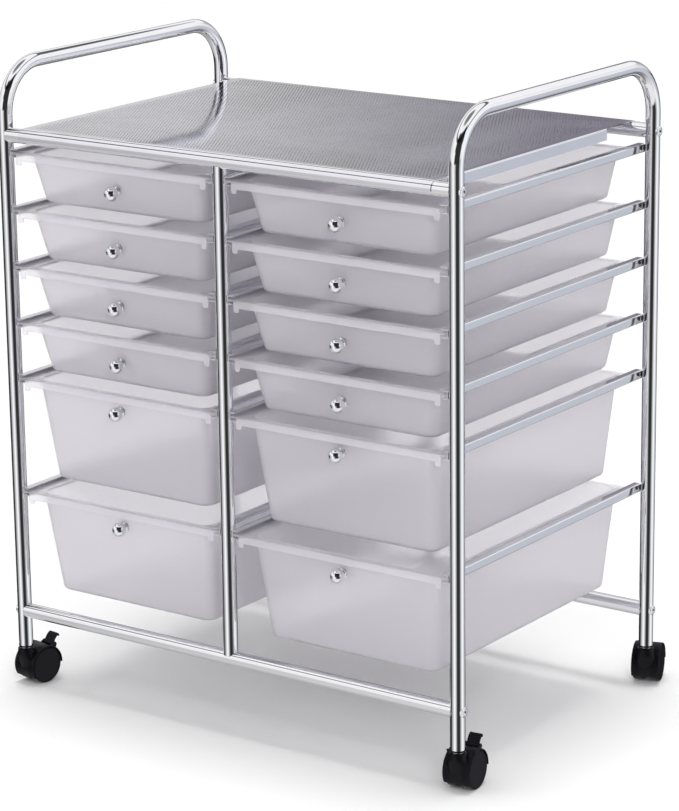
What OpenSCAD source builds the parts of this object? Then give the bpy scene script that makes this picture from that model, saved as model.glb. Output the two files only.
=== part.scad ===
// Rolling drawer cart with twelve drawers in two columns.
// Lengths are millimetres. The floor is z = 0, the front is -Y and the right side is +X.

/* [Overall] */
// Width over the two side frames
cart_w = 640; // [580:10:720]
// Distance between the centres of the front and rear legs
leg_spacing = 410; // [370:10:460]

/* [Frame tubes] */
// Outer diameter of the frame tube
tube_d = 17; // [15:0.5:19]
// Wall of the frame tube
tube_wall = 1.2; // [1:0.1:1.6]
// Bend radius of the handle's corners, on the centreline
handle_bend_r = 58; // [45:1:64]
// Height of the handle's centreline over the top rails' centreline
handle_rise = 79.7; // [74:0.1:110]
// Height of the bottom rails' centreline over the legs' ends
bottom_rail_rise = 44.1; // [40:0.1:70]
// How far a coped end's tips stop short of the other tube's centreline
cope_short = 4.5; // [3:0.5:6]
// Gap at a welded joint
weld_gap = 0.05; // [0.03:0.01:0.1]

/* [Frame bolts] */
// Bolt diameter
bolt_d = 6; // [5:0.5:7]
// Diameter of the bolt's button head
bolt_head_d = 11.5; // [10:0.5:13]
// Height of the button head over the tube
bolt_head_h = 1.3; // [1:0.1:3]
// Width of the slope round the button head's edge
bolt_head_edge = 1.2; // [0.5:0.1:2]
// Width across the corners of the bolt's hex recess
bolt_hex_d = 4.6; // [3.5:0.1:5]
// Length of the threaded plug in each rail's end
rail_nut_l = 12; // [8:1:16]
// How far the plug is set back from the leg's side
rail_nut_back = 3; // [1:0.5:6]

/* [Runners] */
// Height of a runner channel
runner_h = 10; // [9:0.5:13]
// Width of a runner's flanges
runner_w = 9; // [8:0.5:11]
// Thickness of the runner's sheet
runner_t = 1; // [0.8:0.1:1.2]
// Distance from the top runner's top up to the top rail's centreline
top_runner_drop = 15.2; // [13:0.1:25]
// How far the runners' front ends stand in front of the front legs' centres
runner_front = 4; // [0:0.5:6]
// How far the runners' rear ends stop short of the rear legs' centres
runner_rear_short = 2; // [0:0.5:6]

/* [Drawer levels] */
// Rise from one shallow drawer's runner to the next
shallow_pitch = 67.3; // [60:0.1:90]
// Rise from one deep drawer's runner to the next
deep_pitch = 139; // [110:1:170]
// Space from a shallow drawer's floor down to the runner below
shallow_gap = 4.3; // [3:0.1:8]
// Space from a deep drawer's floor down to the runner below
deep_gap = 12; // [4:0.5:20]
// Space from the lowest drawer's floor down to the bottom rail
bottom_gap = 20.4; // [5:0.1:40]

/* [Drawers] */
// Wall of the drawer tray
tray_wall = 2; // [1.6:0.1:3]
// Corner radius of the tray at its rim
tray_corner_r = 14; // [10:1:20]
// Distance from the rim's side edge to the tray's wall
rim_ledge = 19.3; // [17:0.1:24]
// Thickness of the rim
rim_t = 2.2; // [1.8:0.1:2.8]
// Free height between the rim and the runner's top flange
rim_head_room = 3; // [2:0.1:3.4]
// Width of the rim's turned-down side lip
rim_lip_w = 1.6; // [1.2:0.1:2]
// Side play between the rim and each runner
rim_side_play = 0.7; // [0.5:0.1:1.2]
// Play between the rim's lip and the runner's lower flange
rim_rest_gap = 0.3; // [0.2:0.05:0.5]
// How far the rim stands in front of the front legs' centres
rim_front = 5; // [3:0.5:7.5]
// Distance from the rear legs' centres to the rim's rear edge
rim_rear_gap = 12; // [10:0.5:20]
// Thickness of the front skirt
skirt_t = 2; // [1.6:0.1:2.6]
// Height of the front skirt
skirt_h = 9; // [7:0.5:12]
// Distance from the rim's side edge to the skirt's end
skirt_inset = 8; // [7.6:0.1:13]
// Width of the tab under each end of the skirt
tab_w = 7; // [5:0.5:12]
// Depth of the tab under the skirt
tab_h = 5; // [3:0.5:8]
// Distance from the front legs' centres back to the tray's front wall
tray_front = 2; // [1:0.5:6]
// Distance from the rim's rear edge to the tray's rear wall
tray_rear = 4; // [3:0.5:10]
// How far a shallow tray's side walls draw in at the floor
shallow_side_draw = 10; // [6:0.5:12]
// How far a shallow tray's front wall draws in at the floor
shallow_front_draw = 13; // [8:0.5:16]
// How far a deep tray's side walls draw in at the floor
deep_side_draw = 12; // [8:0.5:15]
// How far a deep tray's front wall draws in at the floor
deep_front_draw = 16; // [8:0.5:20]
// How far the rear wall draws in at the floor
rear_draw = 9; // [5:0.5:12]
// Height of the rounding between a tray's walls and floor
floor_round = 5; // [3:0.5:8]

/* [Knobs] */
// Diameter of the knob's ball
knob_d = 17; // [14:0.5:20]
// Diameter of the knob's base
knob_base_d = 13; // [10:0.5:15]
// Thickness of the knob's base
knob_base_t = 1.6; // [1:0.1:2.5]
// Diameter of the knob's neck
knob_neck_d = 7; // [6:0.5:9]
// Distance from the front wall to the ball's centre
knob_reach = 10.5; // [9.5:0.5:16]
// Depth of a shallow drawer's knob under the runner's top
shallow_knob_drop = 35.8; // [30:0.1:42]
// Depth of a deep drawer's knob under the runner's top
deep_knob_drop = 25.8; // [24:0.1:60]
// Diameter of the knob's screw
knob_screw_d = 3.5; // [3:0.1:4.5]
// How far the screw reaches into the knob
knob_screw_l = 8; // [5:0.5:9]
// Diameter of the screw's head
knob_screw_head_d = 7; // [6:0.5:9]
// Height of the screw's head
knob_screw_head_h = 1.8; // [1.2:0.1:2.5]

/* [Top shelf] */
// Thickness of the shelf's sheet
shelf_t = 0.8; // [0.6:0.1:1.2]
// Distance from the legs' centres to the shelf's side edge
shelf_inset = 24.5; // [20:0.5:40]
// Height of the shelf's turned-down side flange
shelf_flange_h = 13; // [8:0.5:20]
// Distance from the front rail's centre to the flange's front end
flange_front_gap = 20; // [14:1:60]
// Distance from the rear rail's centre to the flange's rear end
flange_rear_gap = 60; // [14:1:90]
// How far round the rails the sheet wraps, from the top
shelf_wrap = 106; // [60:1:112]
// Diameter of one perforation
perf_d = 8; // [4:0.5:12]
// Distance between neighbouring perforations
perf_pitch = 29; // [20:1:45]
// Plain border around the perforated field
perf_border = 14; // [12:1:30]

/* [Casters] */
// Diameter of a wheel
wheel_d = 44; // [38:1:50]
// Width of a wheel
wheel_w = 13.5; // [10:0.5:16]
// Depth of the dish in a wheel's outer face
wheel_dish = 1.6; // [0.8:0.1:2.4]
// Width of the slope round the dish
wheel_dish_slope = 2; // [1:0.1:3]
// Thickness of a wheel's rim under its tread
wheel_rim_t = 3.5; // [3:0.1:5]
// Thickness of a wheel's outer disc, with its dish
wheel_disc_t = 4; // [3.4:0.1:6]
// Wall of a wheel's hub round the axle
wheel_hub_t = 3; // [2:0.1:4]
// Thickness that closes the axle's bore at the wheel's outer face, with the dish
wheel_cap_t = 2.6; // [2.6:0.1:3.4]
// Radius of a tread's edges
tread_edge_r = 2; // [1:0.1:3]
// Distance from the stem's axis back to the axle
trail = 18.5; // [16:0.5:24]
// Thickness of the hood's web between the two wheels
web_t = 5; // [4:0.5:8]
// Clearance between a wheel's side and the web
wheel_side_gap = 0.4; // [0.3:0.1:1]
// Clearance between a wheel's tread and the hood
tread_gap = 0.6; // [0.5:0.1:1.5]
// Thickness of the hood over the wheels
hood_t = 1.6; // [1.2:0.1:2.4]
// How far each side of the hood stands past the wheel
hood_side_lap = 0.4; // [0:0.1:2]
// Height of the hood's front edge over the floor
hood_front_z = 8.5; // [5:0.5:14]
// Height of the hood's rear edge over the floor
hood_rear_z = 21.5; // [14:0.5:26]
// Diameter of the hood's neck round the stem
neck_d = 20; // [17:0.5:25]
// Height of the neck over the hood's highest line
neck_rise = 0.4; // [0:0.1:6]
// Diameter of the axle
axle_d = 6; // [4:0.5:8]
// Diameter of the stem in the leg's socket
stem_d = 10.6; // [8:0.1:11]
// Diameter of the stem's collar
stem_collar_d = 14; // [13:0.5:15]
// How far the stem's grip ring stands out
bead_h = 0.5; // [0.2:0.1:0.8]
// Distance from the stem's top down to its grip ring
bead_drop = 5; // [4:0.5:10]
// How far the stem stops short of the socket's top
stem_short = 3; // [1:0.5:6]
// Thickness of the stem's collar
stem_collar_t = 1.6; // [1.2:0.1:2.4]
// Clearance between the stem's collar and the leg's socket
collar_gap = 0.3; // [0.1:0.1:1]
// Length of the socket in the leg
socket_l = 28; // [24:1:30]
// Thickness of the socket's flange under the leg
socket_flange_t = 2; // [1.5:0.1:3]
// Turn of the front left caster about its stem, as the cart stands
front_left_turn = -8; // [-40:1:40]
// Turn of the front right caster
front_right_turn = 6; // [-40:1:40]
// Turn of the rear left caster
rear_left_turn = -14; // [-40:1:40]
// Turn of the rear right caster
rear_right_turn = 19; // [-40:1:40]

/* [Brake levers] */
// Width of a brake lever
lever_w = 15; // [10:0.5:16]
// Length of the lever's curved plate
lever_l = 15; // [12:0.5:20]
// Thickness of the lever's plate
lever_t = 2; // [1.8:0.1:3]
// Depth of the turned-down lip at the lever's tip
lever_lip_h = 4; // [2.5:0.1:6]
// Lean of the lever's plate at its pivot, over the level
lever_start = 80; // [60:1:90]
// Lean of the lever's plate at its tip, over the level
lever_end = 22; // [0:1:45]
// Diameter of the lever's pivot hub
lever_hub_d = 5.6; // [5:0.1:6]
// Diameter of the lever's trunnions
trunnion_d = 3; // [2:0.1:3.4]
// Lean of the line from the axle to the lever's pivot, from upright
pivot_lean = 42; // [30:1:55]
// Thickness of the ears that carry the lever
ear_t = 1.8; // [1.4:0.1:3]
// Clearance of the lever's hub from the hood and the ears
pivot_gap = 0.3; // [0.2:0.1:0.6]

/* [Fits] */
// Radial clearance of a turning fit
running_fit = 0.06; // [0.03:0.01:0.1]
// Clearance between a fastener and its drilled hole
hole_fit = 0.2; // [0.1:0.05:0.4]

/* [Hidden] */
$fn = 96;
sides = ["left", "right"];
level_count = 6;
shallow_count = 4;
chrome = "#c9ccd1";
frosted = "#cdcbd2";
black = "#1c1c1f";
steel = "#a9abb0";
eps = 0.01;
tube_r = tube_d / 2;
bore_r = tube_r - tube_wall;
leg_x = cart_w / 2 - tube_r;

// Casters
wheel_r = wheel_d / 2;
hood_in_r = wheel_r + tread_gap;
hood_r = hood_in_r + hood_t;
hood_w = web_t + 2 * (wheel_side_gap + wheel_w + hood_side_lap);
neck_top_z = wheel_r + hood_r + neck_rise;
leg_end_z = neck_top_z + stem_collar_t + collar_gap + socket_flange_t;
socket_top_z = leg_end_z + socket_l;
bottom_rail_z = leg_end_z + bottom_rail_rise;

function caster_turn(end, side) =
    end == "front"
    ? (side == "left" ? front_left_turn : front_right_turn)
    : (side == "left" ? rear_left_turn : rear_right_turn);
// How far a caster's hood reaches back from its stem when it stands turned
function caster_reach(turn) = (trail + hood_r) * cos(turn) + hood_w / 2 * sin(abs(turn));

// Drawer levels, counted from the top
shallow_depth = shallow_pitch - shallow_gap;
deep_depth = deep_pitch - deep_gap;
low_runner_z = bottom_rail_z + tube_r + bottom_gap + deep_depth;
deep_rows = level_count - shallow_count;
top_runner_z = low_runner_z + (deep_rows - 1) * deep_pitch + shallow_count * shallow_pitch;
top_rail_z = top_runner_z + top_runner_drop;
handle_z = top_rail_z + handle_rise;

// Height of the runner's top at a level
function runner_z(level) =
    level <= shallow_count + 1
    ? top_runner_z - (level - 1) * shallow_pitch
    : runner_z(shallow_count + 1) - (level - shallow_count - 1) * deep_pitch;
function is_deep(level) = level > shallow_count;
function tray_depth(level) = is_deep(level) ? deep_depth : shallow_depth;
function side_draw(level) = is_deep(level) ? deep_side_draw : shallow_side_draw;
function front_draw(level) = is_deep(level) ? deep_front_draw : shallow_front_draw;
function knob_drop(level) = is_deep(level) ? deep_knob_drop : shallow_knob_drop;

// The legs stand so that the whole cart, knobs and casters included, is centred on Y = 0
rim_drop = runner_t + rim_head_room;
lean = atan(shallow_front_draw / (shallow_depth - rim_drop));
knob_wall_back = tray_front + (shallow_knob_drop - rim_drop) * tan(lean);
knob_tip = knob_reach * cos(lean) + knob_d / 2 - knob_wall_back;
deep_lean = atan(deep_front_draw / (deep_depth - rim_drop));
deep_knob_tip = knob_reach * cos(deep_lean) + knob_d / 2 - tray_front
    - (deep_knob_drop - rim_drop) * tan(deep_lean);
front_reach = max(knob_tip, deep_knob_tip, tube_r + shelf_t);
rear_reach = max(caster_reach(rear_left_turn), caster_reach(rear_right_turn));
front_y = -(leg_spacing + rear_reach - front_reach) / 2;
rear_y = front_y + leg_spacing;

// Runner channels
web_x = leg_x - tube_r - weld_gap;
post_web_x = tube_r + weld_gap;
runner_l = runner_front + leg_spacing - runner_rear_short;

// Drawer rims
column_x = (web_x + post_web_x) / 2;
rim_half = (web_x - post_web_x) / 2 - runner_t - rim_side_play;
lip_h = runner_h - rim_drop - runner_t - rim_rest_gap;
tray_half = rim_half - rim_ledge;
skirt_half = rim_half - skirt_inset;
rim_y0 = front_y - rim_front;
rim_y1 = rear_y - rim_rear_gap;
tray_y0 = front_y + tray_front;
tray_y1 = rim_y1 - tray_rear;

// Side frames

// Path of the bent tube, as a solid of radius r
module bent_tube(r) {
    straight_z = handle_z - handle_bend_r;
    for (y = [front_y, rear_y])
        translate([0, y, leg_end_z])
            cylinder(h = straight_z - leg_end_z, r = r);
    for (end = [0, 1])
        translate([0, end == 0 ? front_y + handle_bend_r : rear_y - handle_bend_r, straight_z])
            rotate([90, 0, 90])
                rotate([0, 0, end == 0 ? 90 : 0])
                    rotate_extrude(angle = 90)
                        translate([handle_bend_r, 0])
                            circle(r = r);
    translate([0, front_y + handle_bend_r, handle_z])
        rotate([-90, 0, 0])
            cylinder(h = leg_spacing - 2 * handle_bend_r, r = r);
}

module side_frame(side) {
    translate([side * leg_x, 0, 0])
        difference() {
            bent_tube(tube_r);
            bent_tube(bore_r);
            for (y = [front_y, rear_y])
                for (z = [bottom_rail_z, top_rail_z])
                    translate([0, y, z])
                        rotate([0, 90, 0])
                            cylinder(h = tube_d + 2, d = bolt_d + hole_fit, center = true);
        }
}

// Both legs at one end, as the cutters that cope a rail
module leg_cutters(y) {
    for (side = [-1, 1])
        translate([side * leg_x, y, 0])
            cylinder(h = handle_z, r = tube_r + weld_gap);
}

module rail(y, z) {
    difference() {
        translate([0, y, z])
            rotate([0, 90, 0])
                difference() {
                    cylinder(h = 2 * (leg_x - cope_short), r = tube_r, center = true);
                    cylinder(h = 2 * leg_x, r = bore_r, center = true);
                }
        leg_cutters(y);
    }
}

module centre_post(y) {
    difference() {
        translate([0, y, bottom_rail_z + cope_short])
            cylinder(h = top_rail_z - bottom_rail_z - 2 * cope_short, r = tube_r);
        translate([0, y, bottom_rail_z])
            cylinder(h = top_rail_z - bottom_rail_z, r = bore_r);
        for (z = [bottom_rail_z, top_rail_z])
            translate([0, y, z])
                rotate([0, 90, 0])
                    cylinder(h = 2 * tube_d, r = tube_r + weld_gap, center = true);
    }
}

// Puts its child at the eight ends of the rails, X pointing out of the frame
module at_rail_ends() {
    for (side = [0, 1])
        mirror([side, 0, 0])
            for (y = [front_y, rear_y])
                for (z = [bottom_rail_z, top_rail_z])
                    translate([leg_x, y, z])
                        children();
}

nut_x = tube_r + weld_gap + rail_nut_back;

module rail_nut() {
    rotate([0, -90, 0])
        translate([0, 0, nut_x])
            difference() {
                cylinder(h = rail_nut_l, r = bore_r - weld_gap);
                translate([0, 0, -1])
                    cylinder(h = rail_nut_l + 2, d = bolt_d + 2 * weld_gap);
            }
}

module frame_bolt() {
    seat = tube_r - sqrt(pow(tube_r, 2) - pow(bolt_head_d / 2, 2));
    difference() {
        rotate([0, 90, 0])
            union() {
                translate([0, 0, -nut_x - rail_nut_l])
                    cylinder(h = nut_x + rail_nut_l + tube_r, d = bolt_d);
                translate([0, 0, tube_r - seat])
                    cylinder(h = seat + bolt_head_h / 2, d = bolt_head_d);
                translate([0, 0, tube_r + bolt_head_h / 2])
                    cylinder(h = bolt_head_h / 2, d1 = bolt_head_d, d2 = bolt_head_d - 2 * bolt_head_edge);
            }
        difference() {
            cylinder(h = bolt_head_d + 2, r = tube_r + weld_gap, center = true);
            rotate([0, 90, 0])
                cylinder(h = 3 * tube_d, d = bolt_d, center = true);
        }
        translate([tube_r, 0, 0])
            rotate([0, 90, 0])
                cylinder(h = bolt_head_h + 1, d = bolt_hex_d, $fn = 6);
    }
}

// Runners

// One channel's section, with its web at x = 0 and its flanges towards +x
module runner_section() {
    difference() {
        translate([0, -runner_h])
            square([runner_w, runner_h]);
        translate([runner_t, runner_t - runner_h])
            square([runner_w, runner_h - 2 * runner_t]);
    }
}

// A set of six channels on one upright, open towards +x or -x
module runners(x, towards) {
    for (level = [1 : level_count])
        translate([x, front_y - runner_front, runner_z(level)])
            mirror([towards < 0 ? 1 : 0, 0, 0])
                translate([0, runner_l, 0])
                    rotate([90, 0, 0])
                        linear_extrude(runner_l)
                            runner_section();
}

// Top shelf

shelf_half = leg_x - shelf_inset;
wrap_lap = 0.3;

module perforations() {
    row_step = perf_pitch * sqrt(3) / 2;
    field_x = 2 * (shelf_half - perf_border) - perf_d;
    field_y = leg_spacing - 2 * perf_border - perf_d;
    rows = floor(field_y / row_step);
    holes = floor(field_x / perf_pitch);
    for (row = [0 : rows])
        for (hole = [0 : holes - row % 2])
            translate([(hole - (holes - row % 2) / 2) * perf_pitch, (row - rows / 2) * row_step])
                circle(d = perf_d, $fn = 24);
}

// Sheet's section where it lies round a rail, turned towards -y
module wrap_section() {
    r0 = tube_r + weld_gap;
    r1 = r0 + shelf_t;
    difference() {
        circle(r = r1);
        circle(r = r0);
        translate([0, -2 * r1])
            square([2 * r1, 4 * r1]);
        rotate(shelf_wrap)
            translate([-2 * r1, -2 * r1])
                square([2 * r1, 4 * r1]);
    }
}

module top_shelf() {
    sheet_z = top_rail_z + tube_r + weld_gap;
    color(chrome) {
        translate([0, (front_y + rear_y) / 2, sheet_z])
            linear_extrude(shelf_t)
                difference() {
                    square([2 * shelf_half, leg_spacing + 2 * wrap_lap], center = true);
                    perforations();
                }
        for (end = [0, 1])
            translate([0, end == 0 ? front_y : rear_y, top_rail_z])
                mirror([0, end, 0])
                    rotate([90, 0, 90])
                        linear_extrude(2 * shelf_half, center = true)
                            wrap_section();
        for (side = [0, 1])
            mirror([side, 0, 0])
                translate([shelf_half, front_y + flange_front_gap, sheet_z + shelf_t - shelf_flange_h])
                    translate([-shelf_t, 0, 0])
                        cube([shelf_t, leg_spacing - flange_front_gap - flange_rear_gap, shelf_flange_h]);
    }
}

// Drawers

corner_steps = 8;

// A level rectangle with round corners, as points in order round it
function round_ring(x, y0, y1, r, z) = [
    for (corner = [0 : 3])
        for (step = [0 : corner_steps])
            let (
                angle = 90 * (corner + step / corner_steps),
                centre_x = (corner == 0 || corner == 3 ? 1 : -1) * (x - r),
                centre_y = corner < 2 ? y1 - r : y0 + r
            )
            [centre_x + r * cos(angle), centre_y + r * sin(angle), z]
];

// The solid between level rings of equal count, listed from the bottom up
module loft(rings) {
    count = len(rings[0]);
    last = len(rings) - 1;
    points = [for (ring = rings) for (point = ring) point];
    walls = [
        for (k = [0 : last - 1])
            for (i = [0 : count - 1])
                let (a = k * count + i, b = k * count + (i + 1) % count)
                each [[a, a + count, b + count], [a, b + count, b]]
    ];
    floor_face = [for (i = [0 : count - 1]) i];
    top_face = [for (i = [count - 1 : -1 : 0]) last * count + i];
    polyhedron(points = points, faces = concat(walls, [floor_face, top_face]));
}

// A tapered tub with round corners, from z = -depth to z = top, and its given outline at z = 0.
// The slopes are how far the side, front and rear walls draw in for each millimetre of depth.
module tub(half_x, y0, y1, top, depth, slopes, corner) {
    // Each ring is a height, and how far the floor's rounding has drawn the outline in there
    levels = [
        for (angle = [0 : 30 : 90])
            [floor_round * (1 - cos(angle)) - depth, floor_round * (1 - sin(angle))],
        [top, 0]
    ];
    loft([
        for (level = levels)
            let (z = level[0], in = level[1])
            round_ring(half_x + z * slopes[0] - in, y0 - z * slopes[1] + in, y1 + z * slopes[2] - in,
                max(corner - in, 1), z)
    ]);
}

// The wall's point that carries the knob, and the wall's lean from upright
function wall_lean(level) = atan(front_draw(level) / (tray_depth(level) - rim_drop));
function wall_y(level) = tray_y0 + (knob_drop(level) - rim_drop) * tan(wall_lean(level));

// Puts its child on a drawer's front wall, Z pointing out of the wall
module at_knob(level, x) {
    translate([x, wall_y(level), runner_z(level) - knob_drop(level)])
        rotate([90 + wall_lean(level), 0, 0])
            children();
}

module drawer(level, x) {
    depth = tray_depth(level) - rim_drop;
    slopes = [side_draw(level) / depth, front_draw(level) / depth, rear_draw / depth];
    rim_z = runner_z(level) - rim_drop;
    color(frosted, 0.6)
        difference() {
            translate([x, 0, rim_z])
                union() {
                    tub(tray_half, tray_y0, tray_y1, -rim_t / 2, depth, slopes, tray_corner_r);
                    translate([-rim_half, rim_y0, -rim_t])
                        cube([2 * rim_half, rim_y1 - rim_y0, rim_t]);
                    for (side = [0, 1])
                        mirror([side, 0, 0]) {
                            translate([rim_half - rim_lip_w, front_y + rim_front, -lip_h])
                                cube([rim_lip_w, rim_y1 - front_y - rim_front, lip_h]);
                            translate([skirt_half - tab_w, rim_y0, -skirt_h - tab_h])
                                cube([tab_w, skirt_t, tab_h + eps]);
                        }
                    translate([-skirt_half, rim_y0, -skirt_h])
                        cube([2 * skirt_half, skirt_t, skirt_h]);
                }
            translate([x, 0, rim_z])
                tub(tray_half - tray_wall, tray_y0 + tray_wall, tray_y1 - tray_wall, 1,
                    depth - tray_wall, slopes, tray_corner_r - tray_wall);
            at_knob(level, x)
                cylinder(h = 6 * tray_wall, d = knob_screw_d + hole_fit, center = true);
        }
}

// Free depth past the screw's end in the knob
screw_end_gap = 2;

module knob(level, x) {
    at_knob(level, x) {
        color(chrome)
            translate([0, 0, weld_gap])
                difference() {
                    union() {
                        cylinder(h = knob_base_t, d1 = knob_base_d, d2 = knob_base_d - knob_base_t);
                        cylinder(h = knob_reach, d = knob_neck_d);
                        translate([0, 0, knob_reach])
                            sphere(d = knob_d);
                    }
                    translate([0, 0, -1])
                        cylinder(h = 1 + knob_screw_l + screw_end_gap, d = knob_screw_d + 2 * weld_gap);
                    translate([0, 0, -knob_d])
                        cylinder(h = knob_d, d = 2 * knob_d);
                }
        color(steel)
            translate([0, 0, -tray_wall * cos(wall_lean(level)) - knob_screw_head_h]) {
                cylinder(h = knob_screw_head_h + tray_wall + knob_screw_l, d = knob_screw_d);
                cylinder(h = knob_screw_head_h - weld_gap, d1 = knob_screw_head_d - knob_screw_head_h,
                    d2 = knob_screw_head_d);
            }
    }
}

// Casters

// Turns a section drawn in Y and Z into a solid of width w along X, centred
module across(w) {
    rotate([90, 0, 90])
        linear_extrude(w, center = true)
            children();
}

function caster_y(end) = end == "front" ? front_y : rear_y;
function side_sign(side) = side == "left" ? -1 : 1;

// Puts its child at a caster's stem axis
module at_caster(end, side) {
    translate([side_sign(side) * leg_x, caster_y(end), 0])
        rotate([0, 0, caster_turn(end, side)])
            children();
}

// The half-plane under the hood's lower edge
module under_hood() {
    far = 2 * hood_r;
    slope = (hood_rear_z - hood_front_z) / (2 * hood_r);
    polygon([
        [-far, hood_front_z + slope * (hood_r - far)],
        [far, hood_front_z + slope * (hood_r + far)],
        [far, -far],
        [-far, -far]
    ]);
}

ear_wall = 0.4;
pivot_from_axle = hood_r + lever_hub_d / 2 + pivot_gap;
pivot_y = trail + pivot_from_axle * sin(pivot_lean);
pivot_z = wheel_r + pivot_from_axle * cos(pivot_lean);
ear_d = lever_hub_d + 2 * ear_wall;

module brake_ears() {
    for (side = [-1, 1])
        translate([side * (lever_w / 2 + pivot_gap + ear_t / 2), pivot_y, pivot_z])
            difference() {
                across(ear_t)
                    rotate(-pivot_lean)
                        union() {
                            circle(d = ear_d);
                            translate([-ear_d / 2, -lever_hub_d / 2 - pivot_gap - hood_t / 2])
                                square([ear_d, lever_hub_d / 2 + pivot_gap + hood_t / 2]);
                        }
                across(2 * ear_t)
                    circle(d = trunnion_d + 2 * running_fit);
            }
}

module hood(end, side) {
    color(black)
        at_caster(end, side)
            difference() {
                union() {
                    across(hood_w)
                        translate([trail, wheel_r])
                            difference() {
                                circle(r = hood_r);
                                circle(r = hood_in_r);
                                translate([0, -wheel_r])
                                    under_hood();
                            }
                    across(web_t)
                        translate([trail, wheel_r])
                            difference() {
                                circle(r = hood_r - hood_t / 2);
                                translate([0, -wheel_r])
                                    under_hood();
                            }
                    difference() {
                        translate([0, 0, wheel_r])
                            cylinder(h = neck_top_z - wheel_r, d = neck_d);
                        for (wheel = [-1, 1])
                            translate([wheel * (web_t / 2 + wheel_w), trail, wheel_r])
                                rotate([0, 90, 0])
                                    cylinder(h = 2 * wheel_w, r = hood_in_r, center = true);
                    }
                    if (end == "front")
                        brake_ears();
                }
                translate([0, trail, wheel_r])
                    rotate([0, 90, 0])
                        cylinder(h = 2 * web_t, d = axle_d + 2 * weld_gap, center = true);
                translate([0, 0, stem_low_z - weld_gap])
                    cylinder(h = neck_top_z, d = low_stem_d + 2 * weld_gap);
            }
}

// The stem's low end is a step smaller, and stops a wall's thickness over the wheels' space
low_stem_d = stem_d - 2;
low_stem_back = trail - low_stem_d / 2 - weld_gap;
stem_low_z = wheel_r + sqrt(max(pow(hood_in_r, 2) - pow(low_stem_back, 2), 0)) + hood_t / 2;
stem_top_z = socket_top_z - stem_short;
stem_point = 2;
bead_z = stem_top_z - bead_drop;
bead_half = 1;
bead_r = stem_d / 2 + bead_h;

module pins(end, side) {
    color(steel)
        at_caster(end, side) {
            rotate_extrude()
                polygon([
                    [0, stem_low_z],
                    [low_stem_d / 2, stem_low_z],
                    [low_stem_d / 2, neck_top_z + weld_gap],
                    [stem_collar_d / 2, neck_top_z + weld_gap],
                    [stem_collar_d / 2, neck_top_z + stem_collar_t],
                    [stem_d / 2, neck_top_z + stem_collar_t],
                    [stem_d / 2, bead_z - bead_half],
                    [bead_r, bead_z],
                    [stem_d / 2, bead_z + bead_half],
                    [stem_d / 2, stem_top_z - stem_point],
                    [stem_d / 2 - stem_point, stem_top_z],
                    [0, stem_top_z]
                ]);
            translate([0, trail, wheel_r])
                rotate([0, 90, 0])
                    cylinder(h = 2 * axle_half, d = axle_d, center = true);
        }
}

module leg_sockets() {
    socket_r = bore_r - weld_gap;
    hole_r = stem_d / 2 + running_fit;
    groove_half = bead_half + hole_fit;
    color(black)
        for (end = ["front", "rear"])
            for (side = sides)
                at_caster(end, side)
                    rotate_extrude()
                        polygon([
                            [hole_r, leg_end_z - socket_flange_t],
                            [tube_r, leg_end_z - socket_flange_t],
                            [tube_r, leg_end_z - weld_gap],
                            [socket_r, leg_end_z - weld_gap],
                            [socket_r, socket_top_z],
                            [hole_r, socket_top_z],
                            [hole_r, bead_z + groove_half],
                            [bead_r + running_fit, bead_z + groove_half - bead_half],
                            [bead_r + running_fit, bead_z - groove_half + bead_half],
                            [hole_r, bead_z - groove_half]
                        ]);
}

wheel_in = web_t / 2 + wheel_side_gap;
axle_end_gap = 0.5;
axle_half = wheel_in + wheel_w - wheel_cap_t - axle_end_gap;
hub_d = axle_d + 2 * wheel_hub_t;

// One wheel's section, from the inner face at y = 0 to the outer face
module wheel_section() {
    rim_in = wheel_r - wheel_rim_t;
    bore = axle_d / 2 + running_fit;
    difference() {
        union() {
            square([wheel_r - tread_edge_r, wheel_w]);
            translate([0, tread_edge_r])
                square([wheel_r, wheel_w - 2 * tread_edge_r]);
            for (y = [tread_edge_r, wheel_w - tread_edge_r])
                translate([wheel_r - tread_edge_r, y])
                    circle(r = tread_edge_r, $fn = 32);
        }
        translate([-wheel_r, -1])
            square([wheel_r, wheel_w + 2]);
        square([bore, wheel_w - wheel_cap_t]);
        translate([hub_d / 2, -1])
            square([rim_in - hub_d / 2, wheel_w - wheel_disc_t + 1]);
        polygon([
            [0, wheel_w - wheel_dish],
            [rim_in - wheel_dish_slope, wheel_w - wheel_dish],
            [rim_in, wheel_w + eps],
            [0, wheel_w + eps]
        ]);
    }
}

module wheel(end, side, half) {
    color(black)
        at_caster(end, side)
            mirror([half == "left" ? 1 : 0, 0, 0])
                translate([wheel_in, trail, wheel_r])
                    rotate([90, 0, 90])
                        rotate_extrude()
                            wheel_section();
}

// The lever's section about its pivot: a plate that leaves the hub steeply, curves back and ends in a lip
module lever_section() {
    bend_r = lever_l / ((lever_start - lever_end) * PI / 180);
    out_r = bend_r + lever_t / 2;
    lever_middle = (lever_start + lever_end) / 2;
    tip = [bend_r * cos(90 + lever_end), bend_r * sin(90 + lever_end)];
    circle(d = lever_hub_d);
    translate([bend_r * sin(lever_start), -bend_r * cos(lever_start)]) {
        intersection() {
            difference() {
                circle(r = out_r);
                circle(r = out_r - lever_t);
            }
            polygon([
                [0, 0],
                2 * out_r * [cos(90 + lever_start), sin(90 + lever_start)],
                3 * out_r * [cos(90 + lever_middle), sin(90 + lever_middle)],
                2 * out_r * [cos(90 + lever_end), sin(90 + lever_end)]
            ]);
        }
        translate(tip)
            rotate(lever_end - 90)
                translate([-lever_t / 2, -lever_t])
                    square([lever_lip_h, lever_t]);
    }
}

module brake_lever(end, side) {
    color(black)
        at_caster(end, side)
            translate([0, pivot_y, pivot_z]) {
                across(lever_w)
                    lever_section();
                across(lever_w + 2 * (pivot_gap + ear_t))
                    circle(d = trunnion_d);
            }
}

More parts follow.
